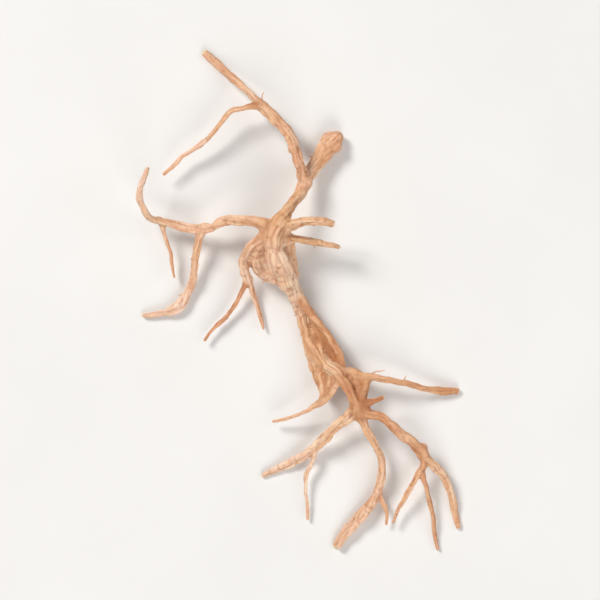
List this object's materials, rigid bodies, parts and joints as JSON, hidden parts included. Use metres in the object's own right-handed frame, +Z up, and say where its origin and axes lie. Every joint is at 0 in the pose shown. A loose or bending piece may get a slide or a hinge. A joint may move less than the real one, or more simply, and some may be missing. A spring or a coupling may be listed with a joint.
{
  "type": "ginseng root",
  "caption": "Dried ginseng root with two knobbly crowns on a bent main root, from which thin, wrinkled arms, legs and fine hairs fork; it lies flat on its own resting spots.",
  "frame": {"origin": "centre of the bounding box's bottom face, on the surface that the root lies on", "axes": "+Y from the lower legs to the upper arms, +X towards the long right arm, +Z up from the surface"},
  "size_m": [0.0288, 0.0444, 0.0054],
  "materials": {
    "root_skin": "matt, wrinkled"
  },
  "bodies": {
    "root": {"ginseng_root": "root_skin"}
  },
  "joints": []
}
